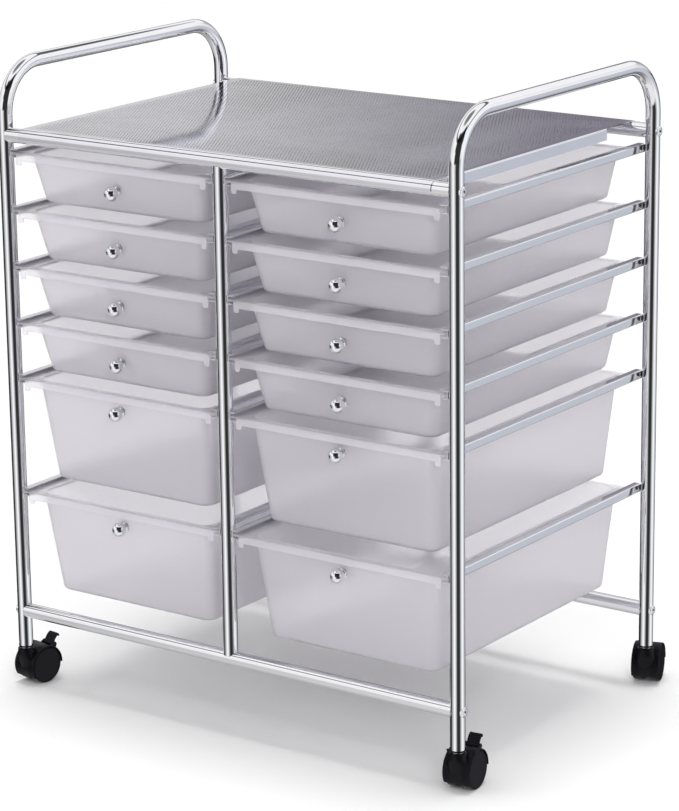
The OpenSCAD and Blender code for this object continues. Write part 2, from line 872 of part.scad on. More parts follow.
color(chrome) side_frame(-1);  // left_side_frame
color(chrome) side_frame(1);  // right_side_frame
color(chrome) rail(front_y, top_rail_z);  // front_top_rail
color(chrome) rail(rear_y, top_rail_z);  // rear_top_rail
color(chrome) rail(front_y, bottom_rail_z);  // front_bottom_rail
color(chrome) rail(rear_y, bottom_rail_z);  // rear_bottom_rail
color(chrome) centre_post(front_y);  // front_centre_post
color(chrome) centre_post(rear_y);  // rear_centre_post
color(steel) at_rail_ends() rail_nut();  // rail_nuts
color(steel) at_rail_ends() frame_bolt();  // frame_bolts
color(chrome) runners(-web_x, 1);  // left_runners
color(chrome) runners(-post_web_x, -1);  // centre_left_runners
color(chrome) runners(post_web_x, 1);  // centre_right_runners
color(chrome) runners(web_x, -1);  // right_runners
top_shelf();
for (level = [1 : level_count])
    for (side = sides) {
        x = side_sign(side) * column_x;
        drawer(level, x);
        knob(level, x);
    }
leg_sockets();
for (end = ["front", "rear"])
    for (side = sides) {
        caster = str(end, "_", side);
        hood(end, side);
        pins(end, side);
        for (half = sides)
            wheel(end, side, half);
        if (end == "front")
            brake_lever(end, side);
    }
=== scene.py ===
"""Rolling drawer cart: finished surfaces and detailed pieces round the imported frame. Lengths are metres."""
import math

import bmesh
import bpy
from mathutils import Matrix, Vector


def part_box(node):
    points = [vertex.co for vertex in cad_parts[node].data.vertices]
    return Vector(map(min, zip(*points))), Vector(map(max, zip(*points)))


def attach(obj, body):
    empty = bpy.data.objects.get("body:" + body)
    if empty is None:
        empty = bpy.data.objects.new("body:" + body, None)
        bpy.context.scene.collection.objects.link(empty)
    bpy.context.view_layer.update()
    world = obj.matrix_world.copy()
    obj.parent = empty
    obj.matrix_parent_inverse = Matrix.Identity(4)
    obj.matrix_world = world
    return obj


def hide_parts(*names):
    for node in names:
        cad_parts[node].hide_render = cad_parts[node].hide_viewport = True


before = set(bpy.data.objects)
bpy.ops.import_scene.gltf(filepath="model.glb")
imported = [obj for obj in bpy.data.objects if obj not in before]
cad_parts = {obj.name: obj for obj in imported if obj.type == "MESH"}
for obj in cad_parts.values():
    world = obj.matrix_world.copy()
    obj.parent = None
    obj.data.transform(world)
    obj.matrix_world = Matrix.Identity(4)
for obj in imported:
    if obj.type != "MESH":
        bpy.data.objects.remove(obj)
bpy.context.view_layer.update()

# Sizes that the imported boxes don't give
MM = 0.001
TUBE_R = 8.5 * MM
BORE_R = 7.3 * MM
HANDLE_BEND_R = 58 * MM
COPE_SHORT = 4.5 * MM
WELD_GAP = 0.05 * MM
RUNNER_H = 10 * MM
RUNNER_W = 9 * MM
RUNNER_T = 1 * MM
RUNNER_BEND_R = 1.5 * MM
RIM_DROP = 4 * MM
RIM_T = 2.2 * MM
RIM_FRONT = 5 * MM
LIP_W = 1.6 * MM
LIP_H = 4.7 * MM
RIM_LEDGE = 19.3 * MM
RIM_CORNER_R = 2 * MM
SKIRT_T = 2 * MM
SKIRT_H = 9 * MM
SKIRT_INSET = 8 * MM
TAB_W = 7 * MM
TAB_H = 5 * MM
TRAY_WALL = 2 * MM
TRAY_CORNER_R = 14 * MM
TRAY_FRONT = 2 * MM
TRAY_REAR = 4 * MM
FLOOR_ROUND = 5 * MM
REAR_DRAW = 9 * MM
KNOB_R = 8.5 * MM
KNOB_BASE_R = 6.5 * MM
KNOB_REACH = 10.5 * MM
SCREW_R = 1.75 * MM
SCREW_HEAD_R = 3.5 * MM
SHELF_T = 0.8 * MM
SHELF_WRAP = math.radians(106)
FLANGE_H = 13 * MM
FLANGE_FRONT_GAP = 20 * MM
FLANGE_REAR_GAP = 60 * MM
FLANGE_BEND_R = 2 * MM
PERF_PITCH = 4.2 * MM
PERF_LONG_R = 1.32 * MM
PERF_SHORT_R = 0.98 * MM
PERF_LEAN = 120
PERF_SIDE_BORDER = 12 * MM
PERF_END_BORDER = 6 * MM
BOLT_HEAD_R = 5.75 * MM
BOLT_HEAD_H = 1.3 * MM
BOLT_HEX_R = 2.3 * MM
WHEEL_R = 22 * MM
WHEEL_W = 13.5 * MM
WHEEL_IN = 2.9 * MM
WEB_HALF = 2.5 * MM
TRAIL = 18.5 * MM
HOOD_T = 1.6 * MM
HOOD_R = 24.2 * MM
HOOD_HALF = 16.8 * MM
HOOD_FRONT_Z = 8.5 * MM
HOOD_REAR_Z = 21.5 * MM
NECK_TOP = 46.6 * MM
STEM_HOLE_R = 4.35 * MM
STEM_LOW_Z = 40.35 * MM
AXLE_HOLE_R = 3.05 * MM
LEVER_HALF = 7.5 * MM
LEVER_L = 15 * MM
LEVER_T = 2 * MM
LEVER_LIP = 4 * MM
LEVER_START = 80
LEVER_END = 22
LEVER_HUB_R = 2.8 * MM
TRUNNION_R = 1.5 * MM
PIVOT_LEAN = 42
PIVOT_GAP = 0.3 * MM
EAR_T = 1.8 * MM
# How each caster stands turned about its stem, in degrees
CASTER_TURN = {"front_left": -8, "front_right": 6, "rear_left": -14, "rear_right": 19}
LEVEL_COUNT = 6
SHALLOW_COUNT = 4
SHALLOW_DRAW = (10 * MM, 13 * MM)
DEEP_DRAW = (12 * MM, 16 * MM)

# Places read from the frame
side_lo, side_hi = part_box("right_side_frame")
leg_x = (side_lo.x + side_hi.x) / 2
front_y = side_lo.y + TUBE_R
rear_y = side_hi.y - TUBE_R
middle_y = (front_y + rear_y) / 2
leg_end_z = side_lo.z
handle_z = side_hi.z - TUBE_R


def centre_z(node):
    lo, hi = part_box(node)
    return (lo.z + hi.z) / 2


top_rail_z = centre_z("front_top_rail")
bottom_rail_z = centre_z("front_bottom_rail")

# Camera: the photograph's viewing angle, fitted on the frame's straight lines
IMAGE_W = 679
FOCAL_PX = 3191
CAMERA_AZIMUTH = math.radians(35.55)
CAMERA_ELEVATION = math.radians(15.32)
CAMERA_ROLL = math.radians(-0.72)
CAMERA_PLACE = Vector((2116.5 * MM, middle_y - 2946 * MM, leg_end_z + 1291 * MM))


def make_camera():
    data = bpy.data.cameras.new("camera")
    camera = bpy.data.objects.new("camera", data)
    bpy.context.scene.collection.objects.link(camera)
    data.sensor_fit = "HORIZONTAL"
    data.sensor_width = 36
    data.lens = FOCAL_PX / IMAGE_W * data.sensor_width
    az, el = CAMERA_AZIMUTH, CAMERA_ELEVATION
    ahead = Vector((-math.sin(az) * math.cos(el), math.cos(az) * math.cos(el), -math.sin(el)))
    right = Vector((math.cos(az), math.sin(az), 0))
    up = right.cross(ahead)
    c, s = math.cos(CAMERA_ROLL), math.sin(CAMERA_ROLL)
    right, up = c * right + s * up, c * up - s * right
    camera.matrix_world = Matrix((
        (right.x, up.x, -ahead.x, CAMERA_PLACE.x),
        (right.y, up.y, -ahead.y, CAMERA_PLACE.y),
        (right.z, up.z, -ahead.z, CAMERA_PLACE.z),
        (0, 0, 0, 1)))
    bpy.context.scene.camera = camera


# Node helpers

def add(nodes, kind, **values):
    node = nodes.new(kind)
    for name, value in values.items():
        setattr(node, name, value)
    return node


def ramp_of(nodes, stops):
    """A colour ramp with (position, grey or colour) stops."""
    node = nodes.new("ShaderNodeValToRGB")
    ramp = node.color_ramp
    ramp.interpolation = "LINEAR"
    while len(ramp.elements) > 1:
        ramp.elements.remove(ramp.elements[-1])
    for k, (position, value) in enumerate(stops):
        element = ramp.elements[0] if k == 0 else ramp.elements.new(position)
        element.position = position
        colour = value if isinstance(value, tuple) else (value, value, value)
        element.color = (*colour, 1)
    return node


def math_node(nodes, links, operation, a, b=None, c=None):
    node = add(nodes, "ShaderNodeMath", operation=operation)
    for k, value in enumerate((a, b, c)):
        if value is None:
            continue
        if isinstance(value, (int, float)):
            node.inputs[k].default_value = value
        else:
            links.new(value, node.inputs[k])
    return node.outputs[0]


def seen_or_through(nodes, links):
    """One for the camera's own rays and for those that come through the plastic, else nought."""
    path = add(nodes, "ShaderNodeLightPath")
    return math_node(nodes, links, "MAXIMUM", path.outputs["Is Camera Ray"],
                     path.outputs["Is Transmission Ray"])


# Studio: white surroundings, and cards that only polished metal shows

SOFT_LIGHT = 0.62
LIGHT_BOUNCES = 24
OVERHEAD_LIGHT = 1.45
OVERHEAD_SPREAD = 24
OVERHEAD_FROM = Vector((-0.04, 0.08, 1))
# Studio cards round the horizon: heading in degrees from the camera, positive to its right, and
# brightness. Two white cards stand in front of black ones, with straight soft edges, and a grey-blue
# card stands on the right for the runners' webs
BLACK_CARD = 0.03
WHITE_CARD = 1.0
SIDE_CARD = (0.58, 0.61, 0.67)
LOW_FLAGS = [
    (-180, BLACK_CARD), (-105, BLACK_CARD), (-52, WHITE_CARD), (-38, WHITE_CARD), (-6, BLACK_CARD),
    (30, BLACK_CARD), (68, WHITE_CARD), (92, WHITE_CARD), (100, SIDE_CARD), (118, SIDE_CARD),
    (140, BLACK_CARD), (180, BLACK_CARD)]
# The same under the horizon, where metal shows the floor
GROUND = [
    (-180, 0.42), (-125, 0.50), (-90, 0.60), (-60, 0.85), (60, 0.90), (95, 0.60), (112, 0.30),
    (140, 0.14), (180, 0.30)]
# The cards over the horizon
HIGH_FLAGS = [
    (-180, 0.46), (-177, 0.68), (-168, 0.72), (-120, 0.75), (-60, WHITE_CARD), (-42, WHITE_CARD),
    (-36, BLACK_CARD), (34, BLACK_CARD), (42, WHITE_CARD), (110, WHITE_CARD), (150, 0.45),
    (168, (0.22, 0.21, 0.25)), (176, (0.24, 0.23, 0.27)), (180, 0.46)]
# Height of the direction, as its sine, and how bright the high part of the surroundings is there
SKY = [
    (0.0, 1.0), (0.60, 1.0), (0.63, 0.12), (0.70, 0.12), (0.73, 1.0), (0.93, 1.0), (0.96, 0.25), (1.0, 0.2)]
# Headings of the dark screen behind the camera, whose top edge is at this height
SCREEN = [
    (-180, WHITE_CARD), (-50, WHITE_CARD), (-45, BLACK_CARD), (42, BLACK_CARD), (47, WHITE_CARD),
    (180, WHITE_CARD)]
SCREEN_TOP = 0.80
# Heights, as sines, between which one band of the surroundings goes over into the next
GROUND_TO_LOW = (-0.54, -0.42)
LOW_TO_HIGH = (0.0, 0.06)
HIGH_TO_SKY = (0.34, 0.42)
PAST_SCREEN = (SCREEN_TOP, SCREEN_TOP + 0.06)


def make_world():
    world = bpy.data.worlds.new("studio")
    bpy.context.scene.world = world
    world.use_nodes = True
    nodes, links = world.node_tree.nodes, world.node_tree.links
    nodes.clear()
    direction = add(nodes, "ShaderNodeTexCoord").outputs["Generated"]
    path = add(nodes, "ShaderNodeLightPath")

    def along(vector):
        node = add(nodes, "ShaderNodeVectorMath", operation="DOT_PRODUCT")
        links.new(direction, node.inputs[0])
        node.inputs[1].default_value = vector
        return node.outputs["Value"]

    az = CAMERA_AZIMUTH
    to_right = along((math.cos(az), math.sin(az), 0))
    to_camera = along((math.sin(az), -math.cos(az), 0))
    height = along((0, 0, 1))
    heading = math_node(nodes, links, "ARCTAN2", to_right, to_camera)
    share = math_node(nodes, links, "MULTIPLY_ADD", heading, 0.5 / math.pi, 0.5)

    def round_horizon(stops):
        node = ramp_of(nodes, [(0.5 + degrees / 360, value) for degrees, value in stops])
        links.new(share, node.inputs[0])
        return node.outputs[0]

    low, high, ground, screen = [round_horizon(stops) for stops in (LOW_FLAGS, HIGH_FLAGS, GROUND, SCREEN)]
    sky = ramp_of(nodes, SKY)
    links.new(height, sky.inputs[0])

    def blend_by(factor, first, second):
        node = add(nodes, "ShaderNodeMix", data_type="RGBA")
        links.new(factor, node.inputs[0])
        links.new(first, node.inputs[6])
        links.new(second, node.inputs[7])
        return node.outputs[2]

    def rise(edges):
        """Nought under the first height and one over the second."""
        node = add(nodes, "ShaderNodeMapRange", interpolation_type="SMOOTHSTEP")
        links.new(height, node.inputs["Value"])
        node.inputs["From Min"].default_value = edges[0]
        node.inputs["From Max"].default_value = edges[1]
        return node.outputs["Result"]

    under = blend_by(rise(GROUND_TO_LOW), ground, low)
    flags = blend_by(rise(LOW_TO_HIGH), under, high)
    over = add(nodes, "ShaderNodeMix", data_type="RGBA", blend_type="MULTIPLY")
    over.inputs[0].default_value = 1
    links.new(sky.outputs[0], over.inputs[6])
    links.new(screen, over.inputs[7])
    above = blend_by(rise(PAST_SCREEN), over.outputs[2], sky.outputs[0])
    mirror = blend_by(rise(HIGH_TO_SKY), flags, above)
    seen = add(nodes, "ShaderNodeBackground")
    seen.inputs["Color"].default_value = (1, 1, 1, 1)
    glossy = add(nodes, "ShaderNodeBackground")
    links.new(mirror, glossy.inputs["Color"])
    soft = add(nodes, "ShaderNodeBackground")
    soft.inputs["Color"].default_value = (1, 1, 1, 1)
    soft.inputs["Strength"].default_value = SOFT_LIGHT
    first = add(nodes, "ShaderNodeMixShader")
    links.new(seen_or_through(nodes, links), first.inputs[0])
    links.new(soft.outputs[0], first.inputs[1])
    links.new(seen.outputs[0], first.inputs[2])
    last = add(nodes, "ShaderNodeMixShader")
    links.new(path.outputs["Is Glossy Ray"], last.inputs[0])
    links.new(first.outputs[0], last.inputs[1])
    links.new(glossy.outputs[0], last.inputs[2])
    output = add(nodes, "ShaderNodeOutputWorld")
    links.new(last.outputs[0], output.inputs[0])


def make_overhead():
    """One broad, even light from above, which throws the soft shadow under the cart."""
    data = bpy.data.lights.new("overhead", "SUN")
    data.angle = math.radians(OVERHEAD_SPREAD)
    data.energy = OVERHEAD_LIGHT
    lamp = bpy.data.objects.new("overhead", data)
    bpy.context.scene.collection.objects.link(lamp)
    lamp.rotation_mode = "QUATERNION"
    lamp.rotation_quaternion = (-OVERHEAD_FROM).to_track_quat("-Z", "Y")
    lamp.visible_glossy = False


def make_lamp(name, place, target, size, watts):
    data = bpy.data.lights.new(name, "AREA")
    data.shape = "DISK"
    data.size = size
    data.energy = watts
    lamp = bpy.data.objects.new(name, data)
    bpy.context.scene.collection.objects.link(lamp)
    lamp.location = place
    lamp.rotation_mode = "QUATERNION"
    lamp.rotation_quaternion = (Vector(target) - Vector(place)).to_track_quat("-Z", "Y")
    lamp.visible_glossy = False
    lamp.visible_camera = False


FLOOR_HALF = 30
FLOOR_SEEN = 0.92
FLOOR_LIT = 0.85


def make_floor():
    mesh = bpy.data.meshes.new("floor")
    h = FLOOR_HALF
    mesh.from_pydata([(-h, -h, 0), (h, -h, 0), (h, h, 0), (-h, h, 0)], [], [(0, 1, 2, 3)])
    floor = bpy.data.objects.new("floor", mesh)
    bpy.context.scene.collection.objects.link(floor)
    material = bpy.data.materials.new("floor_white")
    material.use_nodes = True
    nodes, links = material.node_tree.nodes, material.node_tree.links
    nodes.clear()
    diffuse = add(nodes, "ShaderNodeBsdfDiffuse")
    seen = seen_or_through(nodes, links)
    shade = math_node(nodes, links, "MULTIPLY_ADD", seen, FLOOR_SEEN - FLOOR_LIT, FLOOR_LIT)
    links.new(shade, diffuse.inputs["Color"])
    output = add(nodes, "ShaderNodeOutputMaterial")
    links.new(diffuse.outputs[0], output.inputs[0])
    mesh.materials.append(material)
    floor.visible_glossy = False


# Materials

def surface(name, colour, metallic, roughness, spread=0.0, scale=60.0, bump=0.0, stretch=(1, 1, 1),
            mottle=0.0):
    """A principled material whose roughness, tone and relief vary a little with noise."""
    material = bpy.data.materials.new(name)
    material.use_nodes = True
    nodes, links = material.node_tree.nodes, material.node_tree.links
    shader = nodes["Principled BSDF"]
    shader.inputs["Metallic"].default_value = metallic
    where = add(nodes, "ShaderNodeTexCoord").outputs["Object"]
    mapping = add(nodes, "ShaderNodeMapping")
    mapping.inputs["Scale"].default_value = stretch
    links.new(where, mapping.inputs["Vector"])
    noise = add(nodes, "ShaderNodeTexNoise")
    noise.inputs["Scale"].default_value = scale
    noise.inputs["Detail"].default_value = 5
    links.new(mapping.outputs[0], noise.inputs["Vector"])
    rough = math_node(nodes, links, "MULTIPLY_ADD", noise.outputs["Fac"], 2 * spread, roughness - spread)
    links.new(rough, shader.inputs["Roughness"])
    low = tuple(channel * (1 - mottle) for channel in colour)
    tone = ramp_of(nodes, [(0.3, low), (0.7, colour)])
    links.new(noise.outputs["Fac"], tone.inputs[0])
    links.new(tone.outputs[0], shader.inputs["Base Color"])
    if bump:
        relief = add(nodes, "ShaderNodeBump")
        relief.inputs["Strength"].default_value = 0.3
        relief.inputs["Distance"].default_value = bump
        links.new(noise.outputs["Fac"], relief.inputs["Height"])
        links.new(relief.outputs[0], shader.inputs["Normal"])
    return material


chrome = surface("chrome", (0.90, 0.90, 0.93), 1, 0.05, spread=0.02, scale=40, mottle=0.02)
runner_chrome = surface("runner_chrome", (0.88, 0.88, 0.91), 1, 0.12, spread=0.04, scale=30,
                        stretch=(6, 0.4, 6), mottle=0.03)
shelf_steel = surface("shelf_steel", (0.86, 0.85, 0.90), 1, 0.07, spread=0.02, scale=25, mottle=0.04)
zinc = surface("zinc", (0.62, 0.63, 0.65), 1, 0.28, spread=0.08, scale=300, bump=0.02 * MM, mottle=0.1)
hood_plastic = surface("hood_plastic", (0.0055, 0.0046, 0.0078), 0, 0.30, spread=0.05, scale=900,
                       bump=0.01 * MM, mottle=0.3)
wheel_plastic = surface("wheel_plastic", (0.0052, 0.0044, 0.0075), 0, 0.34, spread=0.08, scale=500,
                        bump=0.02 * MM, mottle=0.4)
for plastic in (hood_plastic, wheel_plastic):
    plastic.node_tree.nodes["Principled BSDF"].inputs["Specular IOR Level"].default_value = 0.12


# Share of the lamps' light that each face of the frosted plastic lets through
LAMP_SHARE = (0.51, 0.51, 0.52)


def make_frosted():
    """Frosted polypropylene: light passes and is scattered by a fine matte grain."""
    material = surface("frosted", (0.905, 0.892, 0.92), 0, 0.40, spread=0.04, scale=900, bump=0.015 * MM,
                       mottle=0.01)
    nodes, links = material.node_tree.nodes, material.node_tree.links
    shader = nodes["Principled BSDF"]
    shader.inputs["IOR"].default_value = 1.14
    shader.inputs["Transmission Weight"].default_value = 0.76
    clear = add(nodes, "ShaderNodeBsdfTransparent")
    clear.inputs["Color"].default_value = (*LAMP_SHARE, 1)
    path = add(nodes, "ShaderNodeLightPath")
    mix = add(nodes, "ShaderNodeMixShader")
    links.new(path.outputs["Is Shadow Ray"], mix.inputs[0])
    links.new(shader.outputs[0], mix.inputs[1])
    links.new(clear.outputs[0], mix.inputs[2])
    links.new(mix.outputs[0], nodes["Material Output"].inputs["Surface"])
    return material


frosted = make_frosted()


# Mesh helpers

def finish_mesh(name, mesh, material, body, replaced=(), bevel=0.0, smooth=40, place=None):
    """Links a mesh as a piece that rides on a body and stands for CAD nodes."""
    piece = bpy.data.objects.new(name, mesh)
    bpy.context.scene.collection.objects.link(piece)
    if not mesh.materials:
        mesh.materials.append(material)
    for polygon in mesh.polygons:
        polygon.use_smooth = True
    mesh.set_sharp_from_angle(angle=math.radians(smooth))
    if bevel:
        edges = piece.modifiers.new("edges", "BEVEL")
        edges.width = bevel
        edges.segments = 2
        edges.limit_method = "ANGLE"
        edges.angle_limit = math.radians(35)
        edges.harden_normals = True
    if place is not None:
        piece.location = place
    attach(piece, body)
    if replaced:
        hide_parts(*replaced)
    return piece


class Shape:
    """Vertices and faces of one or more closed solids."""

    def __init__(self):
        self.points = []
        self.faces = []

    def loft(self, rings, close_start=True, close_end=True, loop=False):
        """Skins rings of equal count. With loop set, the last ring joins the first."""
        base, count = len(self.points), len(rings[0])
        for ring in rings:
            self.points.extend(ring)
        last = len(rings) if loop else len(rings) - 1
        for k in range(last):
            a, b = base + k * count, base + (k + 1) % len(rings) * count
            for i in range(count):
                j = (i + 1) % count
                self.faces.append((a + i, a + j, b + j, b + i))
        if not loop and close_start:
            self.faces.append(tuple(base + i for i in range(count - 1, -1, -1)))
        if not loop and close_end:
            self.faces.append(tuple(base + (len(rings) - 1) * count + i for i in range(count)))

    def prism(self, outline, lift):
        """A flat outline of 3-D points, moved by lift, as a closed solid."""
        lift = Vector(lift)
        self.loft([[tuple(p) for p in outline], [tuple(Vector(p) + lift) for p in outline]])

    def lathe(self, profile, segments=64, matrix=Matrix.Identity(4)):
        """Turns (radius, height) points round Z. A radius of nought closes that end to a point."""
        rings = []
        for radius, height in profile:
            if radius < 1e-7:
                self.points.append(tuple(matrix @ Vector((0, 0, height))))
                rings.append([len(self.points) - 1])
            else:
                ring = []
                for i in range(segments):
                    t = 2 * math.pi * i / segments
                    point = Vector((radius * math.cos(t), radius * math.sin(t), height))
                    self.points.append(tuple(matrix @ point))
                    ring.append(len(self.points) - 1)
                rings.append(ring)
        closed = len(rings[0]) > 1 and len(rings[-1]) > 1
        pairs = list(zip(rings, rings[1:])) + ([(rings[-1], rings[0])] if closed else [])
        for low, high in pairs:
            for i in range(segments):
                j = (i + 1) % segments
                if len(low) == 1:
                    self.faces.append((low[0], high[j], high[i]))
                elif len(high) == 1:
                    self.faces.append((low[i], low[j], high[0]))
                else:
                    self.faces.append((low[i], low[j], high[j], high[i]))

    def mesh(self, name):
        mesh = bpy.data.meshes.new(name)
        mesh.from_pydata(self.points, [], self.faces)
        work = bmesh.new()
        work.from_mesh(mesh)
        bmesh.ops.recalc_face_normals(work, faces=work.faces)
        work.to_mesh(mesh)
        work.free()
        mesh.validate()
        return mesh


def arc(centre, radius, start, end, steps):
    """Points (u, v) on an arc, angles in degrees."""
    points = []
    for k in range(steps + 1):
        t = math.radians(start + (end - start) * k / steps)
        points.append((centre[0] + radius * math.cos(t), centre[1] + radius * math.sin(t)))
    return points


def quarter(steps, first=0):
    """Angles from nought to a right angle, in equal steps."""
    return [math.pi / 2 * k / steps for k in range(first, steps + 1)]


def combined(first, second, operation="UNION"):
    """Two closed meshes joined, or the second taken from the first, as a new mesh."""
    keep = bpy.data.objects.new("keep", first)
    other = bpy.data.objects.new("other", second)
    for thing in (keep, other):
        bpy.context.scene.collection.objects.link(thing)
    join = keep.modifiers.new("join", "BOOLEAN")
    join.operation = operation
    join.solver = "EXACT"
    join.object = other
    bpy.context.view_layer.update()
    joined = bpy.data.meshes.new_from_object(keep.evaluated_get(bpy.context.evaluated_depsgraph_get()))
    for thing in (keep, other):
        bpy.data.objects.remove(thing)
    return joined


# Frame tubes

ROUND = 72


def u_path():
    """Centreline of the bent side tube in Y and Z, with the tangent's angle at each point."""
    path = [(front_y, leg_end_z, 90.0)]
    bends = [(front_y + HANDLE_BEND_R, 180, 90), (rear_y - HANDLE_BEND_R, 90, 0)]
    for y, start, end in bends:
        for k, point in enumerate(arc((y, handle_z - HANDLE_BEND_R), HANDLE_BEND_R, start, end, 28)):
            path.append((*point, start + (end - start) * k / 28 - 90))
    path.append((rear_y, leg_end_z, -90.0))
    return path


def side_frame(side, sign):
    shape = Shape()
    rings = []
    for radius in (TUBE_R, BORE_R):
        path = u_path() if radius == TUBE_R else reversed(u_path())
        for y, z, angle in path:
            across = (-math.sin(math.radians(angle)), math.cos(math.radians(angle)))
            ring = []
            for i in range(ROUND):
                t = 2 * math.pi * i / ROUND
                out = radius * math.cos(t)
                ring.append((sign * leg_x + radius * math.sin(t), y + out * across[0], z + out * across[1]))
            rings.append(ring)
    shape.loft(rings, loop=True)
    name = side + "_side_frame"
    finish_mesh(name + "_tube", shape.mesh(name), chrome, "frame", [name])


def coped_tube(name, node, place, axis, ends):
    """A tube along x or z whose ends are cut round the tubes that it meets."""
    shape = Shape()
    rings = []
    for radius, order in ((TUBE_R, (0, 1)), (BORE_R, (1, 0))):
        for end in order:
            ring = []
            for i in range(ROUND):
                t = 2 * math.pi * i / ROUND
                dy, across = radius * math.cos(t), radius * math.sin(t)
                reach = max(math.sqrt(max((TUBE_R + WELD_GAP) ** 2 - dy ** 2, 0)), COPE_SHORT)
                along = ends[end] + (reach if end == 0 else -reach)
                point = (along, place[1] + dy, place[2] + across) if axis == "x" else (
                    place[0] + across, place[1] + dy, along)
                ring.append(point)
            rings.append(ring)
    shape.loft(rings, loop=True)
    finish_mesh(name, shape.mesh(name), chrome, "frame", [node], smooth=50)


def make_frame():
    side_frame("left", -1)
    side_frame("right", 1)
    for end, y in (("front", front_y), ("rear", rear_y)):
        for level, z in (("top", top_rail_z), ("bottom", bottom_rail_z)):
            node = "%s_%s_rail" % (end, level)
            coped_tube(node + "_tube", node, (0, y, z), "x", (-leg_x, leg_x))
        node = end + "_centre_post"
        coped_tube(node + "_tube", node, (0, y, 0), "z", (bottom_rail_z, top_rail_z))


# Frame bolts

def at_rail_ends():
    """Matrices that put +Z out of the frame at the eight rail ends."""
    for sign in (-1, 1):
        for y in (front_y, rear_y):
            for z in (bottom_rail_z, top_rail_z):
                turn = Matrix.Rotation(sign * math.pi / 2, 4, "Y")
                yield Matrix.Translation((sign * leg_x, y, z)) @ turn


def circle(radius, height, count):
    """A ring of count points on a circle."""
    return [Vector((radius * math.cos(2 * math.pi * i / count), radius * math.sin(2 * math.pi * i / count),
                    height)) for i in range(count)]


def hexagon(radius, height, count):
    """A ring of count points on a hexagon."""
    ring = []
    for i in range(count):
        t = 2 * math.pi * i / count
        reach = radius * math.cos(math.pi / 6) / math.cos(t % (math.pi / 3) - math.pi / 6)
        ring.append(Vector((reach * math.cos(t), reach * math.sin(t), height)))
    return ring


def bolt_heads():
    """Button heads with a hexagon socket, each rooted a little inside its leg's round."""
    count = 48
    edge, rim_h = 0.3 * MM, 0.4 * MM
    root = TUBE_R - 2.2 * MM
    flat_r = BOLT_HEX_R + 0.9 * MM
    socket_edge, socket_depth = 0.25 * MM, 1.6 * MM
    top = TUBE_R + BOLT_HEAD_H
    rings = [circle(BOLT_HEAD_R - edge, root, count), circle(BOLT_HEAD_R, root + edge, count),
             circle(BOLT_HEAD_R, TUBE_R + rim_h, count)]
    for t in quarter(8, first=1):
        radius = flat_r + (BOLT_HEAD_R - flat_r) * math.cos(t)
        rings.append(circle(radius, TUBE_R + rim_h + (BOLT_HEAD_H - rim_h) * math.sin(t), count))
    rings += [hexagon(BOLT_HEX_R + socket_edge, top, count), hexagon(BOLT_HEX_R, top - socket_edge, count),
              hexagon(BOLT_HEX_R, top - socket_depth, count)]
    shape = Shape()
    for matrix in at_rail_ends():
        shape.loft([[tuple(matrix @ p) for p in ring] for ring in rings])
    finish_mesh("frame_bolt_heads", shape.mesh("bolts"), chrome, "frame", ["frame_bolts"],
                smooth=30)


# Runners

def runner_section():
    """One channel's outline, web at u = 0 and top at v = 0, flanges towards +u."""
    r, t, w, h = RUNNER_BEND_R, RUNNER_T, RUNNER_W, RUNNER_H
    inner = r - t
    outline = [(w, 0)] + arc((r, -r), r, 90, 180, 5) + arc((r, r - h), r, 180, 270, 5)
    outline += [(w, -h), (w, t - h)]
    outline += arc((t + inner, t - h + inner), inner, 270, 180, 3)
    outline += arc((t + inner, -t - inner), inner, 180, 90, 3) + [(w, -t)]
    return outline


def runner_tops():
    return [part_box("left_drawer_%d" % (k + 1))[1].z + RIM_DROP for k in range(LEVEL_COUNT)]


def make_runners():
    sets = [("left_runners", 1), ("centre_left_runners", -1), ("centre_right_runners", 1),
            ("right_runners", -1)]
    for node, towards in sets:
        lo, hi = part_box(node)
        web = lo.x if towards > 0 else hi.x
        shape = Shape()
        for top in runner_tops():
            outline = [(web + towards * u, lo.y, top + v) for u, v in runner_section()]
            shape.prism(outline, (0, hi.y - lo.y, 0))
        finish_mesh(node + "_channels", shape.mesh(node), runner_chrome, "frame", [node],
                    smooth=30)


# Top shelf

